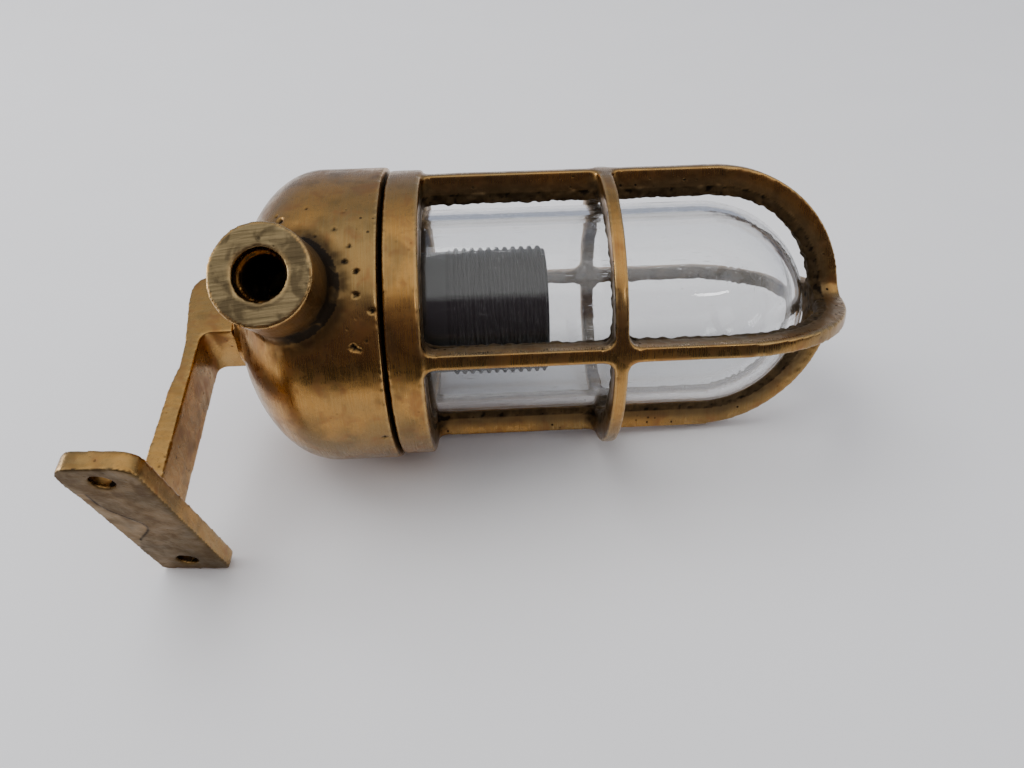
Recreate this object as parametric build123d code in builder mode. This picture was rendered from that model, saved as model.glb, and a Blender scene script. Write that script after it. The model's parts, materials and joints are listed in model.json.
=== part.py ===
from build123d import *
from math import asin, atan, atan2, cos, degrees, hypot, pi, radians, sin, tan
import os

os.makedirs("parts", exist_ok=True)

# A guarded ship's lantern at rest on its side. Millimetres and degrees.
# Stations (names ending in _x) lie along the lantern's own axis: 0 is the canopy's rim, plus runs
# towards the tip of the cage. Angles turn about that axis, from upright towards the front.

# ---- Driving dimensions: outside shape ----
rim_r = 44.5                # canopy, outside
canopy_skirt = 18.5         # straight part of the canopy behind the rim
dome_depth = 27.9           # domed part of the canopy
wall = 3.2                  # cast wall
ring_step = 1.2             # outside of the cage's ring, below the rim
rim_gap = 0.9               # open gap between rim and ring
ring_width = 9.7
guard_step = 0.8            # outside of ribs and hoop, below the ring
rib_depth = 9.0             # radial depth of ribs and hoop
rib_width = 4.4
guard_lead = 3.3            # ribs stay straight this far past the straight of the globe
tip_gap = 3.6               # between the globe's tip and the cage's
hoop_x = 61.7
hoop_width = 4.0
window_fillet = 3.0         # corners of the cage's windows
tip_web_r = 5.0             # rounding where the ribs meet at the tip
glass_gap = 2.1             # between the ribs and the globe
glass_wall = 3.0
globe_dome_depth = 32.6
glass_tip_x = 125.6

# ---- Driving dimensions: cable boss and wall bracket ----
boss_r = 13.2
boss_height = 15.5          # middle of the boss's face, above the rim
boss_x = -25.7
boss_lean = 5.0             # the boss leans back, towards the bracket's end
seat_r = 6.7                # shallow seat for the gland's washer
seat_depth = 3.0
boss_bore_r = 5.6           # gland hole, through to the inside
boss_to_bracket = 60.5      # angle from the boss to the bracket
rib_to_bracket = 31.5       # angle from a rib to the bracket
leg_depth = 23.0            # the leg runs along the axis, out of the dome
leg_width = 17.8
leg_length = 9.0            # from the dome's pad to the front of the arm
arm_thickness = 6.2         # beside the leg
waist_relief = 1.7          # the arm is thinner just past the leg
waist_start = 15.0          # distances from the axis, along the arm
waist_end = 23.0
foot_start = 31.0
foot_taper = 1.6            # back of the arm behind the waist, where the foot starts
foot_back_sweep = 2.6       # at the wall plate, both sides of the arm lie further back
foot_front_sweep = 2.4
arm_corner_r = 6.5
arm_inner_r = 3.0
plate_standoff = 24.0       # middle of the mounting face, past the rim
plate_setback = 6.9         # middle of the mounting face, behind the front of the arm
plate_lean = 4.9            # the plate is square to the arm, which rakes back
plate_twist = 4.9           # turn of the plate on the end of the arm
plate_length = 61.6
plate_width = 20.9
plate_thickness = 5.6
plate_corner_r = 5.0        # rounding at the plate's upper end
plate_lower_corner_r = 1.5
plate_hole_r = 3.0
plate_hole_spacing = 48.0

# ---- Driving dimensions: inside ----
neck_length = 6.9           # cage neck inside the canopy, past the ring
rim_wall = 5.2              # canopy's wall outside the neck
neck_clearance = 0.3
glass_clearance = 0.8
flange_step = 1.0           # flange's edge, inside the neck's outside
flange_thickness = 4.0
cage_gasket_thickness = 1.5
turning_gap = 0.1           # between the cage's neck and the gasket that it turns on
canopy_gasket_thickness = 2.0
ledge_width = 5.3
ledge_thickness = 3.0
fit_clearance = 0.1         # between pieces fastened together
stud_r = 5.0
stud_clearance = 0.3
nut_seat_r = 11.0
crown_thickness = 4.9       # canopy wall under the bracket's nut
pad_height = 0.6            # flat pad on the dome for the bracket's leg
pad_r = 14.5
seal_r = 8.0
seal_thickness = 1.0
washer_thickness = 1.5
washer_r = 10.0
nut_flats = 16.0
nut_height = 7.5
stud_end = 1.5              # stud past its nut
strap_x = -20.0             # canopy side of the mounting strap
strap_thickness = 2.5
strap_width = 14.0
post_r = 5.0
strap_end_margin = 6.0
strap_passing_gap = 0.5     # the strap passes through the ledge
strap_to_boss = 90.0        # angle from the boss to the strap's length
strap_screw_r = 2.0
screw_head_r = 3.6
screw_head_height = 2.6
screw_slot_width = 1.0
screw_slot_depth = 1.2
small_washer_r = 4.6
small_washer_thickness = 0.8
strap_screw_depth = 9.0     # tapped hole in the post
strap_screw_spare = 1.0     # hole left past the end of the screw
earth_to_post = 9.5
earth_washer_r = 3.6
earth_screw_depth = 6.0
nipple_r = 5.0
nipple_bore_r = 3.5
nipple_back = 4.5           # nipple past the strap, towards the dome
locknut_flats = 14.0
locknut_height = 3.0
cap_length = 22.5
cap_neck_length = 3.0
cap_neck_r = 9.0
cap_r = 19.2
cap_wall = 2.4
spigot_length = 6.0
spigot_r = 17.2
skirt_length = 41.1
skirt_r = 18.9              # root of the lampholder's outside thread
skirt_crest_r = 19.9
skirt_pitch = 2.5
skirt_flank = 0.35          # each flank's share of the pitch
skirt_plain_length = 13.0   # before the thread
skirt_bore_r = 15.4
insert_r = 15.2
insert_depth = 13.5         # back of the porcelain, from the strap
insert_length = 13.0
insert_hub_r = 13.2
shell_root_r = 13.1         # rolled lamp thread, middle of its wall
shell_wave = 0.6
shell_pitch = 3.62
shell_turns = 6
shell_wall = 0.4
contact_width = 6.0
contact_thickness = 0.6
contact_rise = 5.0
block_offset = 8.5
block_width = 6.0
block_length = 9.0
block_height = 6.0
terminal_screw_r = 1.4
terminal_head_r = 2.3
terminal_head_height = 1.6
terminal_screw_depth = 3.5

# ---- Places worked out from them ----
ring_r = rim_r - ring_step
guard_r = ring_r - guard_step
glass_r = guard_r - rib_depth - glass_gap
glass_straight_end_x = glass_tip_x - globe_dome_depth
rib_straight_end_x = glass_straight_end_x + guard_lead
tip_x = glass_tip_x + tip_gap + rib_depth
neck_r = rim_r - rim_wall
flange_r = neck_r - flange_step
ledge_r = flange_r - ledge_width
boss_face_r = rim_r + boss_height
plate_face_r = rim_r + plate_standoff
neck_end_x = rim_gap - neck_length
ring_end_x = rim_gap + ring_width
ring_bore_r = glass_r + glass_clearance
guard_inner_r = guard_r - rib_depth
guard_tip_depth = tip_x - rib_straight_end_x
hoop_end_x = hoop_x + hoop_width
flange_front_x = neck_end_x - turning_gap - cage_gasket_thickness
flange_back_x = flange_front_x - flange_thickness
ledge_x = flange_back_x - canopy_gasket_thickness
canopy_bore_r = neck_r + neck_clearance
cavity_r = rim_r - wall
apex_x = -canopy_skirt - dome_depth
pad_x = apex_x - pad_height
arm_front_x = pad_x - leg_length
arm_back_x = arm_front_x - arm_thickness
waist_back_x = arm_back_x + waist_relief
foot_back_x = arm_back_x - foot_back_sweep
foot_front_x = arm_front_x - foot_front_sweep
plate_x = arm_front_x - plate_setback
nut_seat_x = apex_x + crown_thickness
cavity_depth = dome_depth - wall
strap_half_length = ledge_r - strap_passing_gap
post_offset = strap_half_length - strap_end_margin
earth_offset = post_offset - earth_to_post
strap_front_x = strap_x + strap_thickness
cap_end_x = strap_front_x + cap_length
earth_head_x = strap_front_x + small_washer_thickness
insert_back_x = strap_front_x + insert_depth
insert_front_x = insert_back_x + insert_length
skirt_thread_start_x = cap_end_x + skirt_plain_length
skirt_end_x = cap_end_x + skirt_length

# ---- How the lantern lies: on its rim, its hoop and a lower corner of the wall plate ----
pitch = atan((rim_r - guard_r) / hoop_end_x)
lean = radians(plate_lean)
twist = radians(plate_twist)
corner_x = plate_x - plate_width / 2 * cos(twist) * cos(lean) + plate_length / 2 * sin(twist)
corner_out = plate_face_r - plate_width / 2 * sin(lean)
corner_down = plate_width / 2 * sin(twist) * cos(lean) + plate_length / 2 * cos(twist)
corner_drop = rim_r - corner_x * tan(pitch)
droop = asin(corner_drop / hypot(corner_out, corner_down)) - atan2(corner_down, corner_out)
bracket_angle = 90 + degrees(droop)
boss_angle = bracket_angle - boss_to_bracket
rib_angle = bracket_angle - rib_to_bracket
strap_angle = boss_angle + strap_to_boss

axis_dir = Vector(cos(pitch), 0, -sin(pitch))
lift_dir = Vector(sin(pitch), 0, cos(pitch))
front_dir = Vector(0, -1, 0)


def radial(angle):
    """Direction square to the lantern's axis."""
    turn = radians(angle)
    return lift_dir * cos(turn) + front_dir * sin(turn)


plate_side = axis_dir * cos(twist) - radial(bracket_angle + 90) * sin(twist)
plate_across = plate_side * cos(lean) + radial(bracket_angle) * sin(lean)
plate_normal = radial(bracket_angle) * cos(lean) - plate_side * sin(lean)
plate_along = plate_normal.cross(plate_across)
plate_centre = axis_dir * plate_x + radial(bracket_angle) * plate_face_r


def plate_reach(direction):
    """How far the plate's face reaches from the lantern's axis, in one direction."""
    half_across = plate_width / 2 * abs(plate_across.dot(direction))
    half_along = plate_length / 2 * abs(plate_along.dot(direction))
    return plate_centre.dot(direction) + half_across + half_along


tip_reach = rib_straight_end_x * cos(pitch) + hypot(guard_tip_depth * cos(pitch), guard_r * sin(pitch))
middle_x = (plate_reach(Vector(-1, 0, 0)) - tip_reach) / 2
middle_y = (plate_reach(front_dir) - rim_r) / 2
lantern = Plane(origin=(middle_x, middle_y, rim_r * cos(pitch)), x_dir=axis_dir, z_dir=lift_dir)
lantern_axis = Axis(lantern.origin, axis_dir)
boss_dir = radial(boss_angle) * cos(radians(boss_lean)) - axis_dir * sin(radians(boss_lean))
boss_centre = lantern.origin + axis_dir * boss_x + radial(boss_angle) * boss_face_r
boss_face = Plane(origin=boss_centre, x_dir=axis_dir.cross(boss_dir), z_dir=boss_dir)
plate_face = Plane(origin=lantern.origin + plate_centre, x_dir=plate_across, z_dir=plate_normal)


def across(x, angle=0, reach=0):
    """Plane square to the axis at a station, its own X along radial(angle), moved out by reach."""
    centre = lantern.origin + axis_dir * x + radial(angle) * reach
    return Plane(origin=centre, x_dir=radial(angle), z_dir=axis_dir)


def meridian(angle=0):
    """Plane through the axis: its X runs along the axis and its Y along radial(angle)."""
    return Plane(origin=lantern.origin, x_dir=axis_dir, z_dir=axis_dir.cross(radial(angle)))


def hexagon(flats):
    """Regular hexagon in the current sketch, by its width across flats."""
    RegularPolygon(flats / 2, 6, major_radius=False)


# ---- Canopy ----
with BuildPart() as cavity:
    with BuildSketch(meridian()):
        with BuildLine():
            dome = EllipticalCenterArc((-canopy_skirt, 0), cavity_depth, cavity_r, 90, arc_size=90)
            Polyline(
                dome @ 1,
                (0.0, 0.0),
                (0.0, canopy_bore_r),
                (ledge_x, canopy_bore_r),
                (ledge_x, ledge_r),
                (ledge_x - ledge_thickness, ledge_r),
                (ledge_x - ledge_thickness, cavity_r),
                dome @ 0,
            )
        make_face()
    revolve(axis=lantern_axis)
    with BuildSketch(across(strap_x, strap_angle)):
        with Locations((post_offset, 0), (-post_offset, 0)):
            Circle(post_r)
    extrude(amount=-dome_depth, mode=Mode.SUBTRACT)
    with BuildSketch(across(nut_seat_x)):
        Circle(nut_seat_r)
    extrude(amount=-crown_thickness, mode=Mode.SUBTRACT)

with BuildPart() as canopy:
    with BuildSketch(meridian()):
        with BuildLine():
            dome = EllipticalCenterArc((-canopy_skirt, 0), dome_depth, rim_r, 90, arc_size=90)
            Polyline(dome @ 1, (0, 0), (0, rim_r), dome @ 0)
        make_face()
    revolve(axis=lantern_axis)
    with BuildSketch(across(pad_x)):
        Circle(pad_r)
    extrude(amount=crown_thickness)
    with BuildSketch(boss_face):
        Circle(boss_r)
    extrude(amount=-(boss_face_r - ledge_r))
    add(cavity.part, mode=Mode.SUBTRACT)
    with BuildSketch(boss_face):
        Circle(seat_r)
    extrude(amount=-seat_depth, mode=Mode.SUBTRACT)
    with BuildSketch(boss_face):
        Circle(boss_bore_r)
    extrude(amount=-(boss_face_r - ledge_r), mode=Mode.SUBTRACT)
    with BuildSketch(across(pad_x)):
        Circle(seal_r)
    extrude(amount=seal_thickness, mode=Mode.SUBTRACT)
    with BuildSketch(across(pad_x)):
        Circle(stud_r + stud_clearance)
    extrude(amount=crown_thickness + wall, mode=Mode.SUBTRACT)
    with BuildSketch(across(strap_x, strap_angle)):
        with Locations((post_offset, 0), (-post_offset, 0)):
            Circle(strap_screw_r)
    extrude(amount=-strap_screw_depth, mode=Mode.SUBTRACT)
canopy.part.label = "canopy"
export_step(canopy.part, "parts/canopy.step")

# ---- Wall bracket: leg, arm, plate and stud in one casting ----
with BuildPart() as wall_bracket:
    with BuildSketch(meridian(bracket_angle)) as arm_outline:
        with BuildLine():
            Polyline(
                (pad_x, -leg_depth / 2),
                (arm_back_x, -leg_depth / 2),
                (arm_back_x, 0),
                (waist_back_x, waist_start),
                (waist_back_x, waist_end),
                (waist_back_x - foot_taper, foot_start),
                (foot_back_x, plate_face_r - plate_thickness / 2),
                (foot_front_x, plate_face_r - plate_thickness / 2),
                (arm_front_x, leg_depth / 2),
                (pad_x, leg_depth / 2),
                close=True,
            )
        make_face()
        fillet(arm_outline.vertices().sort_by_distance((arm_back_x, -leg_depth / 2, 0))[0], arm_corner_r)
        fillet(arm_outline.vertices().sort_by_distance((arm_front_x, leg_depth / 2, 0))[0], arm_inner_r)
    extrude(amount=leg_width / 2, both=True)
    with BuildSketch(plate_face) as plate_outline:
        Rectangle(plate_width, plate_length)
        fillet(plate_outline.vertices().group_by(Axis.Y)[-1], plate_corner_r)
        fillet(plate_outline.vertices().group_by(Axis.Y)[0], plate_lower_corner_r)
    extrude(amount=-plate_thickness)
    with BuildSketch(plate_face):
        with GridLocations(0, plate_hole_spacing, 1, 2):
            Circle(plate_hole_r)
    extrude(amount=-plate_thickness, mode=Mode.SUBTRACT)
    with BuildSketch(across(pad_x)):
        Circle(stud_r)
    extrude(amount=nut_seat_x - pad_x + washer_thickness + nut_height + stud_end)
wall_bracket.part.label = "wall_bracket"
export_step(wall_bracket.part, "parts/wall_bracket.step")

with BuildPart() as bracket_seal:
    with BuildSketch(across(pad_x)):
        Circle(seal_r - fit_clearance)
        Circle(stud_r + fit_clearance, mode=Mode.SUBTRACT)
    extrude(amount=seal_thickness)
bracket_seal.part.label = "bracket_seal"
export_step(bracket_seal.part, "parts/bracket_seal.step")

with BuildPart() as bracket_washer:
    with BuildSketch(across(nut_seat_x)):
        Circle(washer_r)
        Circle(stud_r + fit_clearance, mode=Mode.SUBTRACT)
    extrude(amount=washer_thickness)
bracket_washer.part.label = "bracket_washer"
export_step(bracket_washer.part, "parts/bracket_washer.step")

with BuildPart() as bracket_nut:
    with BuildSketch(across(nut_seat_x + washer_thickness)):
        hexagon(nut_flats)
        Circle(stud_r + fit_clearance, mode=Mode.SUBTRACT)
    extrude(amount=nut_height)
bracket_nut.part.label = "bracket_nut"
export_step(bracket_nut.part, "parts/bracket_nut.step")


# ---- Cage: ring with its neck, four ribs, hoop and tip ----
def window(start_x, end_x, name):
    """Block that opens one quarter between two ribs, with rounded corners. Its Z runs along the axis."""
    half = rib_width / 2
    reach = rim_r + wall
    with BuildPart() as block:
        with BuildSketch(Plane.XY.offset(start_x)) as quarter:
            with Locations(((half + reach) / 2, (half + reach) / 2)):
                Rectangle(reach - half, reach - half)
            fillet(quarter.vertices().sort_by_distance((0, 0, 0))[0], tip_web_r)
        extrude(amount=end_x - start_x)
        ends = block.faces().filter_by(Axis.Z).edges()
        fillet([edge for edge in ends if min(edge.center().X, edge.center().Y) < half + tip_web_r], window_fillet)
    block.part.label = name
    return block.part


side_window = window(ring_end_x, hoop_x, "side window")
end_window = window(hoop_end_x, tip_x + wall, "end window")

with BuildPart(across(0, rib_angle)) as cage:
    with BuildSketch(meridian()):
        with BuildLine():
            outer = EllipticalCenterArc((rib_straight_end_x, 0), guard_tip_depth, guard_r, 0, arc_size=90)
            inner = EllipticalCenterArc(
                (rib_straight_end_x, 0), guard_tip_depth - rib_depth, guard_inner_r, 0, arc_size=90
            )
            Line(inner @ 0, outer @ 0)
            Polyline(
                outer @ 1,
                (ring_end_x, guard_r),
                (ring_end_x, ring_r),
                (rim_gap, ring_r),
                (rim_gap, neck_r),
                (neck_end_x, neck_r),
                (neck_end_x, ring_bore_r),
                (ring_end_x, ring_bore_r),
                (ring_end_x, guard_inner_r),
                inner @ 1,
            )
        make_face()
    revolve(axis=lantern_axis)
    for quarter in range(4):
        with PolarLocations(0, 1, start_angle=90 * quarter):
            add(side_window, mode=Mode.SUBTRACT)
            add(end_window, mode=Mode.SUBTRACT)
cage.part.label = "cage"
export_step(cage.part, "parts/cage.step")

# ---- Globe and its two gaskets ----
with BuildPart() as glass_globe:
    with BuildSketch(meridian()):
        with BuildLine():
            outer = EllipticalCenterArc(
                (glass_straight_end_x, 0), glass_tip_x - glass_straight_end_x, glass_r, 0, arc_size=90
            )
            inner = EllipticalCenterArc(
                (glass_straight_end_x, 0),
                glass_tip_x - glass_straight_end_x - glass_wall,
                glass_r - glass_wall,
                0,
                arc_size=90,
            )
            Line(inner @ 0, outer @ 0)
            Polyline(
                outer @ 1,
                (flange_front_x, glass_r),
                (flange_front_x, flange_r),
                (flange_back_x, flange_r),
                (flange_back_x, glass_r - glass_wall),
                inner @ 1,
            )
        make_face()
    revolve(axis=lantern_axis)
glass_globe.part.label = "glass_globe"
export_step(glass_globe.part, "parts/glass_globe.step")

with BuildPart() as cage_gasket:
    with BuildSketch(across(flange_front_x)):
        Circle(flange_r)
        Circle(ring_bore_r, mode=Mode.SUBTRACT)
    extrude(amount=cage_gasket_thickness)
cage_gasket.part.label = "cage_gasket"
export_step(cage_gasket.part, "parts/cage_gasket.step")

with BuildPart() as canopy_gasket:
    with BuildSketch(across(ledge_x)):
        Circle(flange_r)
        Circle(ledge_r, mode=Mode.SUBTRACT)
    extrude(amount=canopy_gasket_thickness)
canopy_gasket.part.label = "canopy_gasket"
export_step(canopy_gasket.part, "parts/canopy_gasket.step")

# ---- Mounting strap, its screws and the earth terminal ----
with BuildPart() as mounting_strap:
    with BuildSketch(across(strap_x, strap_angle)):
        SlotOverall(2 * strap_half_length - fit_clearance, strap_width)
        Circle(nipple_r + fit_clearance, mode=Mode.SUBTRACT)
        with Locations((post_offset, 0), (-post_offset, 0), (earth_offset, 0)):
            Circle(strap_screw_r + fit_clearance, mode=Mode.SUBTRACT)
    extrude(amount=strap_thickness)
mounting_strap.part.label = "mounting_strap"
export_step(mounting_strap.part, "parts/mounting_strap.step")

with BuildPart() as strap_washers:
    with BuildSketch(across(strap_front_x, strap_angle)):
        with Locations((post_offset, 0), (-post_offset, 0)):
            Circle(small_washer_r)
            Circle(strap_screw_r + fit_clearance, mode=Mode.SUBTRACT)
    extrude(amount=small_washer_thickness)
strap_washers.part.label = "strap_washers"
export_step(strap_washers.part, "parts/strap_washers.step")

with BuildPart() as strap_screws:
    screw_places = [(post_offset, 0), (-post_offset, 0)]
    head_x = strap_front_x + small_washer_thickness
    with BuildSketch(across(head_x, strap_angle)):
        with Locations(*screw_places):
            Circle(screw_head_r)
    extrude(amount=screw_head_height)
    with BuildSketch(across(head_x, strap_angle)):
        with Locations(*screw_places):
            Circle(strap_screw_r - fit_clearance)
    extrude(amount=-(head_x - strap_x + strap_screw_depth - strap_screw_spare))
    with BuildSketch(across(head_x + screw_head_height, strap_angle)):
        with Locations(*screw_places):
            Rectangle(screw_slot_width, 2 * screw_head_r)
    extrude(amount=-screw_slot_depth, mode=Mode.SUBTRACT)
strap_screws.part.label = "strap_screws"
export_step(strap_screws.part, "parts/strap_screws.step")

with BuildPart() as earth_washer:
    with BuildSketch(across(strap_front_x, strap_angle, earth_offset)):
        Circle(earth_washer_r)
        Circle(strap_screw_r + fit_clearance, mode=Mode.SUBTRACT)
    extrude(amount=small_washer_thickness)
earth_washer.part.label = "earth_washer"
export_step(earth_washer.part, "parts/earth_washer.step")

with BuildPart() as earth_screw:
    with BuildSketch(across(earth_head_x, strap_angle, earth_offset)):
        Circle(screw_head_r)
    extrude(amount=screw_head_height)
    with BuildSketch(across(earth_head_x, strap_angle, earth_offset)):
        Circle(strap_screw_r)
    extrude(amount=-(strap_thickness + earth_screw_depth))
    with BuildSketch(across(earth_head_x + screw_head_height, strap_angle, earth_offset)):
        Rectangle(screw_slot_width, 2 * screw_head_r)
    extrude(amount=-screw_slot_depth, mode=Mode.SUBTRACT)
earth_screw.part.label = "earth_screw"
export_step(earth_screw.part, "parts/earth_screw.step")

with BuildPart() as nipple:
    with BuildSketch(across(strap_x - nipple_back)):
        Circle(nipple_r)
        Circle(nipple_bore_r, mode=Mode.SUBTRACT)
    extrude(amount=nipple_back + strap_thickness + cap_neck_r)
nipple.part.label = "nipple"
export_step(nipple.part, "parts/nipple.step")

with BuildPart() as nipple_locknut:
    with BuildSketch(across(strap_x)):
        hexagon(locknut_flats)
        Circle(nipple_r + fit_clearance, mode=Mode.SUBTRACT)
    extrude(amount=-locknut_height)
nipple_locknut.part.label = "nipple_locknut"
export_step(nipple_locknut.part, "parts/nipple_locknut.step")

# ---- Lampholder: cap, threaded skirt, porcelain insert and contacts ----
cap_shoulder_x = insert_back_x - cap_wall
with BuildPart() as holder_cap:
    with BuildSketch(meridian()):
        with BuildLine():
            Polyline(
                (strap_front_x, nipple_r + fit_clearance),
                (strap_front_x, cap_neck_r),
                (strap_front_x + cap_neck_length, cap_neck_r),
            )
            shoulder = EllipticalCenterArc(
                (cap_shoulder_x, cap_neck_r),
                cap_shoulder_x - strap_front_x - cap_neck_length,
                cap_r - cap_neck_r,
                180,
                arc_size=-90,
            )
            Polyline(
                shoulder @ 1,
                (cap_end_x, cap_r),
                (cap_end_x, spigot_r),
                (cap_end_x + spigot_length, spigot_r),
                (cap_end_x + spigot_length, skirt_bore_r),
                (cap_shoulder_x + cap_wall, skirt_bore_r),
                (cap_shoulder_x + cap_wall, insert_hub_r),
                (strap_front_x + cap_neck_r, nipple_r + cap_wall),
                (strap_front_x + cap_neck_r, nipple_r + fit_clearance),
                (strap_front_x, nipple_r + fit_clearance),
            )
        make_face()
    revolve(axis=lantern_axis)
holder_cap.part.label = "holder_cap"
export_step(holder_cap.part, "parts/holder_cap.step")

with BuildPart() as holder_skirt:
    with BuildSketch(meridian()):
        with BuildLine():
            ridges = []
            for turn in range(int((skirt_end_x - skirt_thread_start_x) / skirt_pitch)):
                root_x = skirt_thread_start_x + turn * skirt_pitch
                ridges += [
                    (root_x, skirt_r),
                    (root_x + skirt_pitch * skirt_flank, skirt_crest_r),
                    (root_x + skirt_pitch * (1 - skirt_flank), skirt_crest_r),
                ]
            Polyline(
                (cap_end_x, spigot_r + fit_clearance),
                (cap_end_x, skirt_r),
                *ridges,
                (skirt_end_x, skirt_r),
                (skirt_end_x, skirt_bore_r),
                (cap_end_x + spigot_length, skirt_bore_r),
                (cap_end_x + spigot_length, spigot_r + fit_clearance),
                (cap_end_x, spigot_r + fit_clearance),
            )
        make_face()
    revolve(axis=lantern_axis)
holder_skirt.part.label = "holder_skirt"
export_step(holder_skirt.part, "parts/holder_skirt.step")

with BuildPart() as holder_insert:
    with BuildSketch(across(insert_back_x)):
        Circle(insert_r)
    extrude(amount=insert_front_x - insert_back_x)
    with BuildSketch(across(insert_back_x, strap_angle)):
        with GridLocations(2 * block_offset, 0, 2, 1):
            Rectangle(block_width, block_length)
    extrude(amount=block_height, mode=Mode.SUBTRACT)
holder_insert.part.label = "holder_insert"
export_step(holder_insert.part, "parts/holder_insert.step")

with BuildPart() as terminal_blocks:
    with BuildSketch(across(insert_back_x, strap_angle)):
        with GridLocations(2 * block_offset, 0, 2, 1):
            Rectangle(block_width - fit_clearance, block_length - fit_clearance)
    extrude(amount=block_height)
    with BuildSketch(across(insert_back_x, strap_angle)):
        with GridLocations(2 * block_offset, 0, 2, 1):
            Circle(terminal_screw_r + fit_clearance)
    extrude(amount=terminal_screw_depth + fit_clearance, mode=Mode.SUBTRACT)
terminal_blocks.part.label = "terminal_blocks"
export_step(terminal_blocks.part, "parts/terminal_blocks.step")

with BuildPart() as terminal_screws:
    with BuildSketch(across(insert_back_x, strap_angle)):
        with GridLocations(2 * block_offset, 0, 2, 1):
            Circle(terminal_screw_r)
    extrude(amount=terminal_screw_depth)
    with BuildSketch(across(insert_back_x, strap_angle)):
        with GridLocations(2 * block_offset, 0, 2, 1):
            Circle(terminal_head_r)
    extrude(amount=-terminal_head_height)
terminal_screws.part.label = "terminal_screws"
export_step(terminal_screws.part, "parts/terminal_screws.step")

with BuildPart() as screw_shell:
    with BuildSketch(meridian()):
        with BuildLine():
            steps_per_turn = 4
            waves = []
            for step in range(shell_turns * steps_per_turn + 1):
                wave_x = insert_front_x + step * shell_pitch / steps_per_turn
                waves.append((wave_x, shell_root_r + shell_wave * sin(step * 2 * pi / steps_per_turn)))
            Polyline(
                *[(x, r + shell_wall / 2) for x, r in waves],
                *[(x, r - shell_wall / 2) for x, r in reversed(waves)],
                close=True,
            )
        make_face()
    revolve(axis=lantern_axis)
screw_shell.part.label = "screw_shell"
export_step(screw_shell.part, "parts/screw_shell.step")

with BuildPart() as centre_contact:
    with BuildSketch(meridian(strap_angle)):
        with BuildLine():
            Polyline(
                (insert_front_x, -block_offset),
                (insert_front_x + contact_thickness, -block_offset),
                (insert_front_x + contact_thickness, -contact_width / 2),
                (insert_front_x + contact_rise, contact_width / 2 - contact_thickness),
                (insert_front_x + contact_rise, contact_width / 2 + contact_thickness),
                (insert_front_x + contact_rise - contact_thickness, contact_width / 2 + contact_thickness),
                (insert_front_x + contact_rise - contact_thickness, contact_width / 2 - contact_thickness),
                (insert_front_x, -contact_width / 2 + contact_thickness),
                close=True,
            )
        make_face()
    extrude(amount=contact_width / 2, both=True)
centre_contact.part.label = "centre_contact"
export_step(centre_contact.part, "parts/centre_contact.step")

with BuildPart() as side_contact:
    tab_r = shell_root_r - shell_wave - shell_wall
    with BuildSketch(meridian(strap_angle)):
        with BuildLine():
            Polyline(
                (insert_front_x, block_offset),
                (insert_front_x, tab_r),
                (insert_front_x + contact_width, tab_r),
                (insert_front_x + contact_width, tab_r - contact_thickness),
                (insert_front_x + contact_thickness, tab_r - contact_thickness),
                (insert_front_x + contact_thickness, block_offset),
                close=True,
            )
        make_face()
    extrude(amount=contact_width / 4, both=True)
side_contact.part.label = "side_contact"
export_step(side_contact.part, "parts/side_contact.step")
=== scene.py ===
import json
import math

import bpy
import numpy as np
from mathutils import Matrix, Vector, noise


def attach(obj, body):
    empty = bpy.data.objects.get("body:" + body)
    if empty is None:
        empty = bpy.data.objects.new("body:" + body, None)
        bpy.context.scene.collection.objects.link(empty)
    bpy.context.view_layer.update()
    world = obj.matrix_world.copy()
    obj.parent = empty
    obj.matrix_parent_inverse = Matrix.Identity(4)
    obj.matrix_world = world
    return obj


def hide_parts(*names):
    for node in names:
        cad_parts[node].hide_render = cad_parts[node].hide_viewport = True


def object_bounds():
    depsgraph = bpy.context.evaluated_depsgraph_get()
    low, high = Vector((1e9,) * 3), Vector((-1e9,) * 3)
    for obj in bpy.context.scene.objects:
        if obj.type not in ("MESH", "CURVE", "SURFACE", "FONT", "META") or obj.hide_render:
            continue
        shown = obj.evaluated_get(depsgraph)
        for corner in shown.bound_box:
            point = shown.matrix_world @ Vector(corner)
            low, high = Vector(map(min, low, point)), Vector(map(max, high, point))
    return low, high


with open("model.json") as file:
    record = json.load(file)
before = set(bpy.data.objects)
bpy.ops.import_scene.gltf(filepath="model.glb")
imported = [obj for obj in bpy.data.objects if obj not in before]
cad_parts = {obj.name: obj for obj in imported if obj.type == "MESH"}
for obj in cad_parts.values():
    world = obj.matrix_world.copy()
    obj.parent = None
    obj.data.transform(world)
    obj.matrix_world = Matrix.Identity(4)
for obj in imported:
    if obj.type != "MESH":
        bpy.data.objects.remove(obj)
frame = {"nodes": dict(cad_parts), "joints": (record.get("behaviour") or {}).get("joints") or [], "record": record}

cad_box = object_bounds()
MM = 0.001

# ---- The lantern's own frame, in mm: x along its axis from the canopy's rim, y to the rear, z up ----
joints = {joint["name"]: joint for joint in frame["joints"]}
mounts = {mount["name"]: mount for mount in frame["record"]["mounts"]}
origin = Vector(joints["cage_unscrew"]["pos_m"])
axis = Vector(joints["cage_unscrew"]["axis"]).normalized()
lift = (Vector((0, 0, 1)) - axis * axis.z).normalized()
rear = lift.cross(axis)
turn = Matrix((axis, rear, lift)).transposed()
to_row = Matrix.LocRotScale(origin, turn.to_quaternion(), Vector((MM, MM, MM)))
to_lantern = to_row.inverted()


def in_lantern(point):
    """A place of the row frame, in the lantern's frame."""
    return np.array(to_lantern @ Vector(point))


def along(direction):
    """A direction of the row frame, in the lantern's frame."""
    return np.array(turn.transposed() @ Vector(direction)).astype(float)


def points_of(mesh):
    flat = np.zeros(len(mesh.vertices) * 3)
    mesh.vertices.foreach_get("co", flat)
    return flat.reshape(-1, 3)


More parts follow.
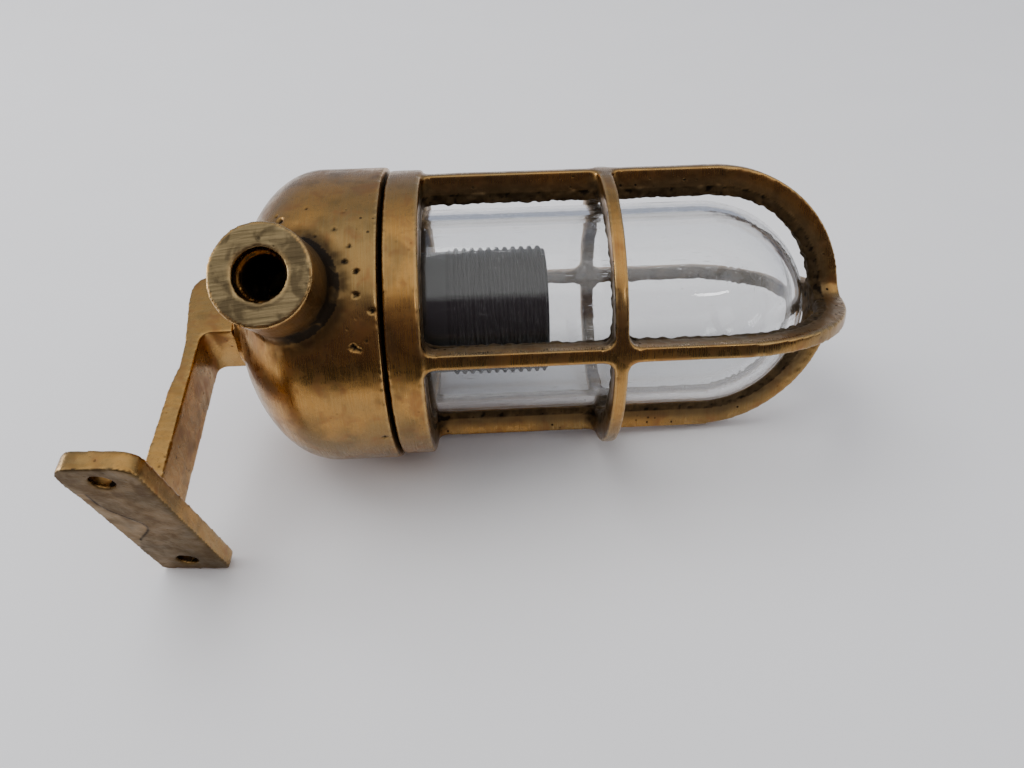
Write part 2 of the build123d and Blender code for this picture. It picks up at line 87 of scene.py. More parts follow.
def normals_of(mesh):
    flat = np.zeros(len(mesh.vertices) * 3)
    mesh.vertex_normals.foreach_get("vector", flat)
    return flat.reshape(-1, 3)


def reach(node):
    """Stations where a CAD node starts and ends, and its smallest and largest radius about the axis."""
    places = points_of(frame["nodes"][node].data)
    places = (places - np.array(origin)) @ np.array(turn) / MM
    radius = np.hypot(places[:, 1], places[:, 2])
    return places[:, 0].min(), places[:, 0].max(), radius.min(), radius.max()


def ramp_up(values, low, high):
    """0 below low, 1 above high, and smooth between."""
    share = np.clip((values - low) / (high - low), 0, 1)
    return share * share * (3 - 2 * share)


def rough(places, size, seed, octaves=2):
    """Smooth noise from about -1 to 1 at each place, with lumps of the given size."""
    total = np.zeros(len(places))
    for octave in range(octaves):
        step = size / 2**octave
        shift = seed * 17.3 + octave * 5.1
        total += [noise.noise(Vector(place)) / 2**octave for place in places / step + shift]
    return total


def relax(places, edges, weight, rounds):
    """Moves each point towards the middle of its neighbours, which rounds corners and fills hollows."""
    first, second = edges[:, 0], edges[:, 1]
    count = np.bincount(edges.ravel(), minlength=len(places))[:, None]
    pull = np.broadcast_to(weight, len(places))[:, None]
    for _ in range(rounds):
        total = np.stack(
            [
                np.bincount(first, places[second, k], len(places))
                + np.bincount(second, places[first, k], len(places))
                for k in range(3)
            ],
            axis=1,
        )
        places = places + pull * (total / count - places)
    return places


def edges_of(mesh):
    flat = np.zeros(len(mesh.edges) * 2, int)
    mesh.edges.foreach_get("vertices", flat)
    return flat.reshape(-1, 2)


def even_copy(name, node, voxel):
    """A copy of a CAD node as an even mesh, in the lantern's frame."""
    mesh = frame["nodes"][node].data.copy()
    mesh.transform(to_lantern)
    piece = bpy.data.objects.new(name, mesh)
    bpy.context.scene.collection.objects.link(piece)
    remesh = piece.modifiers.new("even", "REMESH")
    remesh.mode = "VOXEL"
    remesh.voxel_size = voxel
    held = piece.evaluated_get(bpy.context.evaluated_depsgraph_get())
    even = bpy.data.meshes.new_from_object(held)
    piece.modifiers.clear()
    piece.data = even
    even.name = name
    return piece


def set_points(mesh, places):
    mesh.vertices.foreach_set("co", np.asarray(places).ravel())
    mesh.update()


def mark(mesh, name, values):
    """A value for each point, which the materials read."""
    layer = mesh.attributes.new(name, "FLOAT", "POINT")
    layer.data.foreach_set("value", np.clip(values, 0, 1).astype(np.float32))


def bend(mesh, edges, rounds):
    """How far each point lies inside (above 0) or outside (below 0) its smoothed surroundings, in mm."""
    places = points_of(mesh)
    calm = relax(places, edges, 0.5, rounds)
    return ((calm - places) * normals_of(mesh)).sum(axis=1)


def finish_piece(piece, body, node, material):
    """Puts a modelled piece in its place of the row frame, on its body."""
    piece.data.transform(to_row)
    piece.data.shade_smooth()
    piece.data.materials.clear()
    piece.data.materials.append(material)
    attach(piece, body)
    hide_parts(node)


# ---- Node helpers ----
class Shader:
    """A material under construction, with its texture places in the lantern's frame."""

    def __init__(self, name):
        self.material = bpy.data.materials.new(name)
        self.material.use_nodes = True
        self.tree = self.material.node_tree
        self.principled = self.tree.nodes["Principled BSDF"]
        place = self.node("ShaderNodeTexCoord")
        frame_map = self.node("ShaderNodeMapping")
        frame_map.inputs["Location"].default_value = to_lantern.translation
        frame_map.inputs["Rotation"].default_value = turn.transposed().to_euler()
        frame_map.inputs["Scale"].default_value = (1 / MM,) * 3
        self.link(place.outputs["Object"], frame_map.inputs["Vector"])
        self.place = frame_map.outputs["Vector"]

    def node(self, kind, **settings):
        made = self.tree.nodes.new(kind)
        for key, value in settings.items():
            setattr(made, key, value)
        return made

    def link(self, source, target):
        self.tree.links.new(source, target)

    def feed(self, target, value):
        if isinstance(value, bpy.types.NodeSocket):
            self.link(value, target)
        else:
            target.default_value = value

    def math(self, operation, *values, clamp=False):
        made = self.node("ShaderNodeMath", operation=operation, use_clamp=clamp)
        for socket, value in zip(made.inputs, values):
            self.feed(socket, value)
        return made.outputs[0]

    def noise(self, size, detail=3.0, stretch=(1, 1, 1), shift=0.0, distortion=0.0):
        """Noise with lumps of a size in millimetres, longer along the axes with a large stretch."""
        spread = self.node("ShaderNodeMapping")
        spread.inputs["Location"].default_value = (shift, shift, shift)
        spread.inputs["Scale"].default_value = tuple(1 / (size * s) for s in stretch)
        self.link(self.place, spread.inputs["Vector"])
        made = self.node("ShaderNodeTexNoise")
        made.inputs["Scale"].default_value = 1.0
        made.inputs["Detail"].default_value = detail
        made.inputs["Distortion"].default_value = distortion
        self.link(spread.outputs["Vector"], made.inputs["Vector"])
        return made.outputs["Fac"]

    def cells(self, size, shift=0.0):
        """Distance to the nearest of scattered points, in shares of their spacing."""
        spread = self.node("ShaderNodeMapping")
        spread.inputs["Location"].default_value = (shift, shift, shift)
        spread.inputs["Scale"].default_value = (1 / size,) * 3
        self.link(self.place, spread.inputs["Vector"])
        made = self.node("ShaderNodeTexVoronoi")
        made.inputs["Scale"].default_value = 1.0
        self.link(spread.outputs["Vector"], made.inputs["Vector"])
        return made.outputs["Distance"]

    def span(self, value, low, high, start=0.0, end=1.0):
        """start where value is low or less, end where it is high or more."""
        made = self.node("ShaderNodeMapRange", interpolation_type="SMOOTHSTEP")
        for key, number in (("From Min", low), ("From Max", high), ("To Min", start), ("To Max", end)):
            made.inputs[key].default_value = number
        self.link(value, made.inputs["Value"])
        return made.outputs["Result"]

    def mix(self, share, first, second, blend="MIX"):
        made = self.node("ShaderNodeMix", data_type="RGBA", blend_type=blend)
        self.feed(made.inputs["Factor"], share)
        self.feed(made.inputs[6], first)
        self.feed(made.inputs[7], second)
        return made.outputs[2]

    def marked(self, name):
        return self.node("ShaderNodeAttribute", attribute_name=name).outputs["Fac"]

    def bump(self, height, depth, strength=1.0):
        """Normals from a height of 0 to 1 that stands for a depth in millimetres."""
        made = self.node("ShaderNodeBump")
        made.inputs["Strength"].default_value = strength
        made.inputs["Distance"].default_value = depth * MM
        self.link(height, made.inputs["Height"])
        return made.outputs["Normal"]

    def shade(self, **values):
        for key, value in values.items():
            self.feed(self.principled.inputs[key.replace("_", " ")], value)


def colour(red, green, blue):
    return (red, green, blue, 1.0)


# ---- Tones of the brass ----
GOLD = colour(0.45, 0.245, 0.075)
OLIVE = colour(0.3, 0.19, 0.075)
COPPER = colour(0.3, 0.135, 0.055)
BRACKET_GOLD = colour(0.48, 0.27, 0.085)
BRACKET_OLIVE = colour(0.37, 0.23, 0.085)
CONTACT_TONES = (colour(0.75, 0.55, 0.25), colour(0.68, 0.48, 0.22), colour(0.6, 0.4, 0.2))
DULL = colour(0.13, 0.095, 0.045)
FRECKLE = colour(0.24, 0.16, 0.07)
GRAIN_TINT = colour(0.9, 0.72, 0.42)
FILED_DARK = colour(0.2, 0.15, 0.075)
FILED_LIGHT = colour(0.3, 0.225, 0.115)
SMUDGE = colour(0.09, 0.065, 0.035)
RUBBED = colour(0.6, 0.4, 0.17)
CAST_SKIN = colour(0.12, 0.085, 0.045)
# Near-black tone for patina, pores and painted shade in hollows and recesses
PATINA_AND_SHADE = colour(0.028, 0.02, 0.013)

# Stretch of the grain along x, y and z of the lantern
GRAIN_AROUND = (1, 40, 40)
GRAIN_BRACKET = (20, 6, 20)
GRAIN_CONTACT = (6, 6, 6)
FILE_MARKS = (26, 1, 26)


def old_brass(name, gold, olive, copper, grain, seed, marks=True):
    """Aged cast brass, rubbed by hand: patches of tone, fine grain, dark patina and painted shade in hollows,
    pores.
    """
    s = Shader(name)
    patches = s.noise(26, 3, shift=seed)
    stains = s.noise(5, 6, shift=seed + 3, distortion=0.6)
    freckles = s.noise(0.9, 4, shift=seed + 5)
    brushed = s.noise(0.22, 3, stretch=grain, shift=seed + 7)
    tone = s.mix(s.span(patches, 0.38, 0.62), gold, olive)
    tone = s.mix(s.span(stains, 0.5, 0.72, 0, 0.6), tone, copper)
    tone = s.mix(s.span(s.noise(9, 4, shift=seed + 13), 0.5, 0.68, 0, 0.45), tone, DULL)
    tone = s.mix(s.span(freckles, 0.52, 0.7, 0, 0.35), tone, FRECKLE)
    tone = s.mix(s.span(brushed, 0.3, 0.7, 0, 0.35), tone, GRAIN_TINT, "MULTIPLY")
    pores = s.span(s.cells(2.6, seed), 0.1, 0.2, 1, 0)
    clusters = s.span(s.noise(11, 2, shift=seed + 9), 0.5, 0.6)
    pores = s.math("MULTIPLY", pores, clusters)
    if marks:
        scratches = s.noise(0.5, 4, stretch=FILE_MARKS, shift=seed + 11)
        filed = s.marked("filed")
        face = s.mix(s.span(scratches, 0.35, 0.65), FILED_DARK, FILED_LIGHT)
        face = s.mix(s.span(stains, 0.45, 0.62, 0, 0.7), face, SMUDGE)
        tone = s.mix(filed, tone, face)
        pores = s.math("MULTIPLY", pores, s.span(s.marked("porous"), 0.0, 0.8, 0.25, 1))
        # The hollow mark darkens towards the near-black tone: patina in hollows, and painted shade in crevices,
        # recesses and shaded sides
        film = s.math("MULTIPLY", s.marked("hollow"), s.span(stains, 0.3, 0.6, 0.75, 1.2))
        rubbed = s.marked("worn")
        cast = s.marked("cast")
        tone = s.mix(s.math("MULTIPLY", rubbed, 0.6), tone, RUBBED)
        tone = s.mix(s.math("MULTIPLY", cast, 0.8), tone, CAST_SKIN)
    else:
        film = s.span(stains, 0.62, 0.8, 0, 0.6)
        scratches = brushed
        filed = s.span(stains, 0.9, 1.0)
        cast = s.span(stains, 0.9, 1.0)
    dark = s.math("MAXIMUM", film, pores, clamp=True)
    tone = s.mix(dark, tone, PATINA_AND_SHADE)
    gloss = s.span(brushed, 0.3, 0.7, 0.2, 0.3)
    gloss = s.math("ADD", gloss, s.span(stains, 0.4, 0.7, 0, 0.12))
    gloss = s.math("ADD", gloss, s.math("MULTIPLY", filed, 0.15))
    gloss = s.math("ADD", gloss, s.math("MULTIPLY", dark, 0.3))
    gloss = s.math("ADD", gloss, s.math("MULTIPLY", cast, 0.2), clamp=True)
    height = s.math("MULTIPLY", brushed, 0.12)
    height = s.math("ADD", height, s.math("MULTIPLY", stains, 0.5))
    height = s.math("ADD", height, s.math("MULTIPLY", s.math("MULTIPLY", freckles, cast), 2.2))
    height = s.math("ADD", height, s.math("MULTIPLY", s.math("MULTIPLY", scratches, filed), 2.0))
    height = s.math("SUBTRACT", height, s.math("MULTIPLY", pores, 2.0))
    s.shade(Base_Color=tone, Roughness=gloss, Normal=s.bump(height, 0.1, 0.55))
    s.principled.inputs["Metallic"].default_value = 1.0
    return s.material


def plain_finish(name, low, high, size, roughness, metallic=0.0, depth=0.02, stretch=(1, 1, 1)):
    """A finish between two close tones, with fine unevenness of a size in millimetres."""
    s = Shader(name)
    fine = s.noise(size, 5, stretch=stretch)
    broad = s.noise(size * 14, 2, shift=4)
    s.shade(
        Base_Color=s.mix(s.math("MULTIPLY_ADD", fine, 0.5, s.math("MULTIPLY", broad, 0.5)), low, high),
        Roughness=s.span(fine, 0.3, 0.7, roughness - 0.06, roughness + 0.08),
        Normal=s.bump(fine, depth, 0.6),
    )
    s.principled.inputs["Metallic"].default_value = metallic
    return s.material


def clear_glass(name):
    """Thick clear glass with light scratches and a little dust. Lamps shine through it."""
    s = Shader(name)
    scratches = s.noise(0.35, 2, stretch=(14, 1, 1), shift=2)
    across = s.noise(0.3, 2, stretch=(1, 9, 9), shift=8)
    waves = s.noise(17, 2, shift=5)
    fine = s.math("MAXIMUM", s.span(scratches, 0.68, 0.76), s.span(across, 0.7, 0.78))
    height = s.math("ADD", s.math("MULTIPLY", fine, 0.1), s.math("MULTIPLY", waves, 1.0))
    s.shade(Roughness=s.math("MULTIPLY_ADD", fine, 0.25, 0.015), Normal=s.bump(height, 0.12, 0.6))
    glass = s.principled.inputs
    glass["Base Color"].default_value = colour(0.97, 0.975, 0.975)
    glass["Transmission Weight"].default_value = 1.0
    glass["IOR"].default_value = 1.5
    glass["Specular IOR Level"].default_value = 0.35
    dust = s.node("ShaderNodeBsdfDiffuse")
    dust.inputs["Color"].default_value = colour(0.6, 0.58, 0.58)
    specks = s.span(s.noise(0.8, 4, shift=11), 0.6, 0.75, 0.004, 0.06)
    film = s.math("ADD", specks, s.math("MULTIPLY", fine, 0.1))
    dusty = s.node("ShaderNodeMixShader")
    s.link(film, dusty.inputs[0])
    s.link(s.principled.outputs[0], dusty.inputs[1])
    s.link(dust.outputs[0], dusty.inputs[2])
    through = s.node("ShaderNodeBsdfTransparent")
    through.inputs["Color"].default_value = colour(0.9, 0.9, 0.9)
    path = s.node("ShaderNodeLightPath")
    lit = s.node("ShaderNodeMixShader")
    s.link(path.outputs["Is Shadow Ray"], lit.inputs[0])
    s.link(dusty.outputs[0], lit.inputs[1])
    s.link(through.outputs[0], lit.inputs[2])
    s.link(lit.outputs[0], s.tree.nodes["Material Output"].inputs["Surface"])
    return s.material


canopy_brass = old_brass("canopy_brass", GOLD, OLIVE, COPPER, GRAIN_AROUND, 1.0)
cage_brass = old_brass("cage_brass", GOLD, OLIVE, COPPER, GRAIN_AROUND, 21.0)
bracket_brass = old_brass("bracket_brass", BRACKET_GOLD, BRACKET_OLIVE, COPPER, GRAIN_BRACKET, 41.0)
contact_brass = old_brass("contact_brass", *CONTACT_TONES, GRAIN_CONTACT, 61.0, marks=False)
globe_glass = clear_glass("globe_glass")
rubber = plain_finish("gasket_rubber", colour(0.012, 0.012, 0.012), colour(0.03, 0.029, 0.028), 0.8, 0.7)
bakelite = plain_finish(
    "holder_bakelite", colour(0.004, 0.004, 0.0037), colour(0.011, 0.011, 0.0105), 1.2, 0.42
)
bakelite.node_tree.nodes["Principled BSDF"].inputs["Specular IOR Level"].default_value = 0.15
porcelain = plain_finish("insert_porcelain", colour(0.68, 0.66, 0.6), colour(0.8, 0.78, 0.73), 2.0, 0.3)
steel = plain_finish(
    "plated_steel", colour(0.42, 0.42, 0.43), colour(0.58, 0.58, 0.58), 0.6, 0.38, metallic=1.0
)

# ---- Castings: even meshes of the CAD solids, with blends, wear, pits and rough cast faces ----
# Sizes in mm, and stations along the axis
VOXEL = 0.6
BRACKET_VOXEL = 0.45
RIM_R = 44.5
SKIRT_LENGTH = 18.5         # straight part of the canopy, behind the rim
DOME_DEPTH = 27.9
BOSS_R = 13.2
BOSS_DEPTH = 20             # reach of the boss's root below the mount
SEAT_EDGE = 7.1             # just outside the seat of the boss's bore
RING_START = 0.9
RING_END = 10.6
RING_INSIDE_R = 41          # what is nearer the axis is the ring's inside
GUARD_X = 96.3              # the guard's rounded end starts here
GUARD_DEPTH = 41.9
GUARD_R = 42.5
PATCH_TOP = -18             # the wall plate's worn patch, measured down from its middle
PATCH_FOOT = 16
PATCH_LINE_FOOT = 10
boss_centre = in_lantern(mounts["cable_entry"]["pos_m"])
boss_axis = along(mounts["cable_entry"]["axis"])

# Casting pits: station, angle from upright towards the front, radius, depth
PITS = [
    (-26, 16, 1.1, 1.1), (-27.5, 13, 0.6, 0.7), (-7, 29, 0.7, 0.7), (-8, 35, 0.8, 0.7),
    (-5, 38.5, 0.9, 0.8), (-14, 30, 0.6, 0.6), (-16, 25, 0.5, 0.5), (-11, 22.5, 0.6, 0.5),
    (-19, 12.5, 0.5, 0.5), (-9, 15, 0.5, 0.5), (-1.5, 52, 1.0, 0.8), (-7, 64, 1.2, 1.1),
    (-5.5, 65, 0.8, 0.8), (-3.5, 62, 0.6, 0.6), (-2, 104, 0.8, 0.7), (-5.5, 46.5, 0.6, 0.6),
    (-13, 205, 0.8, 0.7), (-24, 250, 0.7, 0.6), (-9, 290, 0.9, 0.7), (-30, 305, 0.6, 0.5),
]


def from_axis(places):
    """Distance of each place from the lantern's axis."""
    return np.maximum(np.hypot(places[:, 1], places[:, 2]), 1e-6)


def from_boss(places):
    """Distance of each place from the boss's axis, and height along it from the mount."""
    offset = places - boss_centre
    height = offset @ boss_axis
    return np.linalg.norm(offset - height[:, None] * boss_axis, axis=1), height


def canopy_place(station, angle):
    """The point of the canopy's outside at a station and an angle from upright towards the front."""
    spread = math.radians(angle)
    past = min(station + SKIRT_LENGTH, 0) / DOME_DEPTH
    radius = RIM_R * math.sqrt(max(1 - past * past, 0))
    return np.array([station, -radius * math.sin(spread), radius * math.cos(spread)])


def shape_canopy():
    piece = even_copy("canopy_casting", "canopy", VOXEL)
    mesh = piece.data
    edges = edges_of(mesh)
    places = points_of(mesh)
    distance, height = from_boss(places)
    in_dome = np.minimum(places[:, 0] + SKIRT_LENGTH, 0) / DOME_DEPTH * RIM_R
    proud = np.hypot(in_dome, from_axis(places)) - RIM_R     # above 0 outside the dome
    root = 1 - ramp_up(np.hypot(distance - BOSS_R, np.maximum(proud, 0)), 2.2, 6.0)
    root *= (proud > -1.6) * (height > -BOSS_DEPTH)
    places = relax(places, edges, 0.5, 3)
    places = relax(places, edges, 0.5 * root, 90)
    set_points(mesh, places)

    # Uneven casting, wrinkles at the boss's root, and pits
    facing = normals_of(mesh)
    outer = (proud > -1.2) | (distance < BOSS_R + 1)
    wrinkle = rough(places, 2.4, 3) * root * (distance > BOSS_R + 0.5)
    swell = rough(places, 14, 5, 1) * 0.1 + rough(places, 4, 6, 1) * 0.03
    push = np.where(outer & (distance > 8), swell + 0.16 * wrinkle - 0.1, 0)
    pit_dark = np.zeros(len(places))
    by_pit = np.zeros(len(places), bool)
    for station, angle, size, depth in PITS:
        near = np.linalg.norm(places - canopy_place(station, angle), axis=1)
        near = near * (1 + 0.6 * rough(places, 1.1, station)) if near.min() < size else near
        hollow = 1 - ramp_up(near, 0.25 * size, size)
        push -= hollow * depth * outer
        pit_dark = np.maximum(pit_dark, hollow * outer)
        by_pit |= near < 2 * size
    places = places + facing * push[:, None]
    set_points(mesh, places)

    # Values for the finish, with painted shadow and shade around the boss
    shade = bend(mesh, edges, 12)
    # Painted shadow on the boss's root, on its side towards the rim
    shadow_side = root * ramp_up(places[:, 0], -32, -20)
    below_face = height[distance < BOSS_R].max() - height
    # Painted shade on the boss's side wall, stronger on its side towards the rim
    boss_side_shade = (distance > BOSS_R - 0.8) * (distance < BOSS_R + 1) * ramp_up(below_face, 0.6, 2.5)
    boss_side_shade = boss_side_shade * ramp_up(places[:, 0] - boss_centre[0], -9, 9)
    # Painted shade deep inside the boss's bore
    bore_shade = (distance < SEAT_EDGE) * ramp_up(below_face, 3.2, 4.5) * (below_face < 24)
    # Crevices darken as patina and painted shade; pits are darker too
    crevice_patina_and_shade = ramp_up(shade, 0.16, 0.5) * 0.6 + 0.65 * shadow_side * (distance > 10) + 0.5 * boss_side_shade
    mark(mesh, "hollow", pit_dark * 1.6 + np.maximum(crevice_patina_and_shade, bore_shade))
    mark(mesh, "filed", (distance < BOSS_R - 0.7) * ramp_up(-below_face, -0.5, -0.2))
    mark(mesh, "worn", ramp_up(-shade, 0.1, 0.3) * ~by_pit)
    angles = np.degrees(np.arctan2(-places[:, 1], places[:, 2]))
    mark(mesh, "porous", np.exp(-(((places[:, 0] + 10) / 12) ** 2) - ((angles - 33) / 22) ** 2))
    mark(mesh, "cast", np.where(outer, 0.0, 0.9))
    finish_piece(piece, "canopy", "canopy", canopy_brass)


def shape_cage():
    piece = even_copy("cage_casting", "cage", VOXEL)
    mesh = piece.data
    edges = edges_of(mesh)
    places = relax(points_of(mesh), edges, 0.5, 5)
    set_points(mesh, places)

    # How deep each point lies in the guard, as a share of its radius, and its ragged inner edges
    facing = normals_of(mesh)
    radius = from_axis(places)
    guard = places[:, 0] > RING_END
    past = np.maximum(places[:, 0] - GUARD_X, 0)
    depth_in = 1 - np.hypot(past / GUARD_DEPTH, radius / GUARD_R)
    inner = guard & (depth_in > 0.14)
    side = guard & (depth_in > 0.03)
    ragged = rough(places, 2.1, 11, 3)
    calm = rough(places, 12, 12, 1)
    push = np.where(guard, -0.1 + 0.08 * calm, 0)
    push = push + np.where(side, 0.1 * rough(places, 1.6, 13), 0)
    push = push + np.where(inner, 0.55 * ragged - 0.1, 0)
    places = places + facing * push[:, None]
    places = relax(places, edges, 0.3, 1)
    set_points(mesh, places)

    # Values for the finish
    shade = bend(mesh, edges, 10)
    # Corners and broad fillets darken as patina and painted shade
    corner_patina_and_shade = ramp_up(shade, 0.08, 0.3) + 0.8 * ramp_up(bend(mesh, edges, 45), 0.12, 0.45)
    # Also darker: the ragged inner edges, and painted shade on the ring's face in the gap by the canopy
    mark(mesh, "hollow", corner_patina_and_shade * 0.85 + inner * 0.55 + (places[:, 0] < RING_START) * 0.8)
    mark(mesh, "worn", ramp_up(-shade, 0.1, 0.26) * (~inner))
    mark(mesh, "porous", np.where(side, 0.9, 0.1))
    inside_ring = (places[:, 0] <= RING_END) & (radius < RING_INSIDE_R)
    mark(mesh, "cast", side * ramp_up(depth_in, 0.04, 0.12) * 0.9 + inside_ring * 0.8)
    finish_piece(piece, "cage", "cage", cage_brass)


def shape_bracket():
    piece = even_copy("bracket_casting", "wall_bracket", BRACKET_VOXEL)
    mesh = piece.data
    edges = edges_of(mesh)
    places = relax(points_of(mesh), edges, 0.5, 5)
    set_points(mesh, places)
    facing = normals_of(mesh)

    # Places on the wall plate from its middle: out of its face, down its length and to the right
    normal = along(mounts["wall_face"]["axis"])
    up = np.array([0.0, 0.0, 1.0])
    length = up - normal * (up @ normal)
    length /= np.linalg.norm(length)
    width = np.cross(normal, length)
    offset = places - in_lantern(mounts["wall_face"]["pos_m"])
    out, low, right = offset @ normal, -(offset @ length), -(offset @ width)
    on_face = (out > -0.5).astype(float)
    patch_edge = -1.0 - 7.5 * (1 - np.exp(-(((low - 1) / 8) ** 2)))
    worn_patch = on_face * ramp_up(patch_edge - right, -0.3, 0.3) * (low > PATCH_TOP) * (low < PATCH_FOOT)
    swell = rough(places, 13, 31, 1) * 0.1 + rough(places, 3, 32, 1) * 0.03 - 0.1
    set_points(mesh, places + facing * (swell - 0.12 * worn_patch)[:, None])

    # Values for the finish
    shade = bend(mesh, edges, 14)
    contour = on_face * np.exp(-(((patch_edge - right) / 0.4) ** 2))
    contour *= (low > PATCH_TOP) * (low < PATCH_LINE_FOOT)
    holes = mounts["wall_screws"]["dims"]
    in_hole = np.hypot(np.abs(low) - holes["pcd_mm"] / 2, right) < holes["hole_r_mm"] + 0.3
    # Painted dark reflection over the wall face, less on its worn patch; painted shade deep in the screw holes; a
    # dark line along the patch's edge
    film = np.maximum(contour * 0.6 + on_face * (0.34 - 0.14 * worn_patch), in_hole * (out < -0.7) * 0.9)
    # Crevices darken as patina and painted shade
    mark(mesh, "hollow", ramp_up(shade, 0.08, 0.4) * 0.8 + film)
    mark(mesh, "worn", ramp_up(-shade, 0.12, 0.35))
    mark(mesh, "porous", np.full(len(places), 0.3))
    mark(mesh, "cast", on_face * (0.85 - 0.2 * worn_patch))
    finish_piece(piece, "canopy", "wall_bracket", bracket_brass)


# ---- Threads: the CAD rings stand in for these helices ----
def wave_tube(name, start, end, outside, inside, steps, turns=160):
    """A closed tube about the axis. outside and inside give its radius by station and share of a turn."""
    stations = np.linspace(start, end, steps)
    shares = np.arange(turns) / turns
    grid_x, grid_t = np.meshgrid(stations, shares, indexing="ij")
    angle = grid_t * 2 * math.pi
    rows = []
    for radius in (outside(grid_x, grid_t), inside(grid_x, grid_t)[::-1]):
        x = grid_x if not rows else grid_x[::-1]
        rows.append(np.stack([x, radius * np.cos(angle), radius * np.sin(angle)], axis=2))
    places = np.concatenate(rows)
    count = len(places)
    faces = []
    for row in range(count):
        after = (row + 1) % count
        for step in range(turns):
            beside = (step + 1) % turns
            near, far = row * turns, after * turns
            faces.append((near + step, far + step, far + beside, near + beside))
    mesh = bpy.data.meshes.new(name)
    mesh.from_pydata(places.reshape(-1, 3).tolist(), [], faces)
    piece = bpy.data.objects.new(name, mesh)
    bpy.context.scene.collection.objects.link(piece)
    return piece


def ridge(phase):
    """Rounded thread ridge: 0 at its root and 1 at its crest."""
    swing = np.abs((phase % 1.0) - 0.5) * 2
    return 1 - ramp_up(swing, 0.25, 0.75)


HOLDER_PITCH = 2.5
HOLDER_THREAD_DEPTH = 0.9
HOLDER_THREAD_INSET = 0.3   # the crests stay this far inside the CAD rings
HOLDER_THREAD_START = 16.6
HOLDER_BORE_R = 15.4
SOCKET_LENGTH = 6.0         # wider bore that takes the cap's spigot
SOCKET_R = 17.3
SHELL_PITCH = 3.62
SHELL_WAVE = 0.6
SHELL_WALL = 0.4


def shape_skirt():
    start, end, _, crest = reach("holder_skirt")
    crest -= HOLDER_THREAD_INSET

    def outside(x, t):
        run_in = ramp_up(x, HOLDER_THREAD_START - 0.5, HOLDER_THREAD_START + 1.5)
        fade = run_in * (1 - ramp_up(x, end - 0.9, end - 0.2))
        lift = HOLDER_THREAD_DEPTH * ridge(x / HOLDER_PITCH - t) * fade
        return crest - HOLDER_THREAD_DEPTH + lift - 0.25 * ramp_up(x, end - 0.25, end)

    def inside(x, t):
        return HOLDER_BORE_R + (SOCKET_R - HOLDER_BORE_R) * (x < start + SOCKET_LENGTH)

    piece = wave_tube("skirt_thread", start, end, outside, inside, 240)
    finish_piece(piece, "canopy", "holder_skirt", bakelite)


def shape_shell():
    start, end, inner, outer = reach("screw_shell")
    middle = (inner + outer) / 2

    def surface(side):
        return lambda x, t: middle + side * SHELL_WALL / 2 + SHELL_WAVE * np.sin(
            2 * math.pi * ((x - start) / SHELL_PITCH - t)
        )

    piece = wave_tube("lamp_shell", start, end, surface(1), surface(-1), 110)
    finish_piece(piece, "canopy", "screw_shell", contact_brass)


shape_canopy()
shape_cage()
shape_bracket()
shape_skirt()
shape_shell()

# ---- CAD nodes that keep their shape ----
finishes = {
    "globe_glass": globe_glass,
    "gasket_rubber": rubber,
    "holder_bakelite": bakelite,
    "insert_porcelain": porcelain,
    "contact_brass": contact_brass,
    "plated_steel": steel,
}
for part in frame["record"]["subparts"]:
    material = finishes.get(part["material_slot"])
    if material:
        for material_slot in frame["nodes"][part["node"]].material_slots:
            material_slot.material = material

# ---- Floor, light and camera ----
FLOOR_REACH = 3.0           # half the floor's width, in metres
FLOOR_GAP = 0.0002
CARD_START = 0.17
CARD_RISE = 0.0005


def stage_plane(name, front, back, height, material):
    """A level plane of the stage, as wide as the floor, between two places along y."""
    mesh = bpy.data.meshes.new(name)
    mesh.from_pydata(
        [(-FLOOR_REACH, front, 0), (FLOOR_REACH, front, 0), (FLOOR_REACH, back, 0), (-FLOOR_REACH, back, 0)],
        [],
        [(0, 1, 2, 3)],
    )
    mesh.materials.append(material)
    plane = bpy.data.objects.new(name, mesh)
    plane.location.z = height
    bpy.context.scene.collection.objects.link(plane)
    return plane


paper = plain_finish(
    "floor_paper", colour(0.84, 0.835, 0.845), colour(0.88, 0.875, 0.885), 30, 0.85, depth=0.0
)
floor = stage_plane("floor", -FLOOR_REACH, FLOOR_REACH, cad_box[0].z - FLOOR_GAP, paper)

# A dark sheet on the floor in front, where the room is dark: a painted dark reflection that only the brass's
# reflections show
dark_reflection_finish = plain_finish("dark_room_reflection", colour(0.02, 0.018, 0.016), colour(0.04, 0.036, 0.032), 20, 0.9)
dark_reflector = stage_plane("dark_reflection_card", -FLOOR_REACH, -CARD_START, floor.location.z + CARD_RISE, dark_reflection_finish)
dark_reflector.visible_camera = dark_reflector.visible_diffuse = dark_reflector.visible_transmission = dark_reflector.visible_shadow = False


def softbox(name, place, aim, width, height, power):
    light = bpy.data.lights.new(name, "AREA")
    light.shape = "RECTANGLE"
    light.size, light.size_y, light.energy = width, height, power
    lamp = bpy.data.objects.new(name, light)
    lamp.location = place
    lamp.rotation_mode = "QUATERNION"
    lamp.rotation_quaternion = (Vector(aim) - Vector(place)).to_track_quat("-Z", "Y")
    bpy.context.scene.collection.objects.link(lamp)
    return lamp


KEY_PLACE = (-0.5, 0.3, 1.15)
WINDOW_PLACE = (-1.2, 0.2, 0.28)
STRIP_PLACE = (0.47, -0.79, 0.86)
STRIP_AIM = (0.06, -0.01, 0.06)
middle = (cad_box[0] + cad_box[1]) / 2
key = softbox("key", KEY_PLACE, middle, 1.0, 0.8, 8.5)
key.visible_glossy = False
softbox("window", WINDOW_PLACE, middle, 0.6, 0.4, 5)
softbox("strip", STRIP_PLACE, STRIP_AIM, 0.2, 0.045, 0.6)

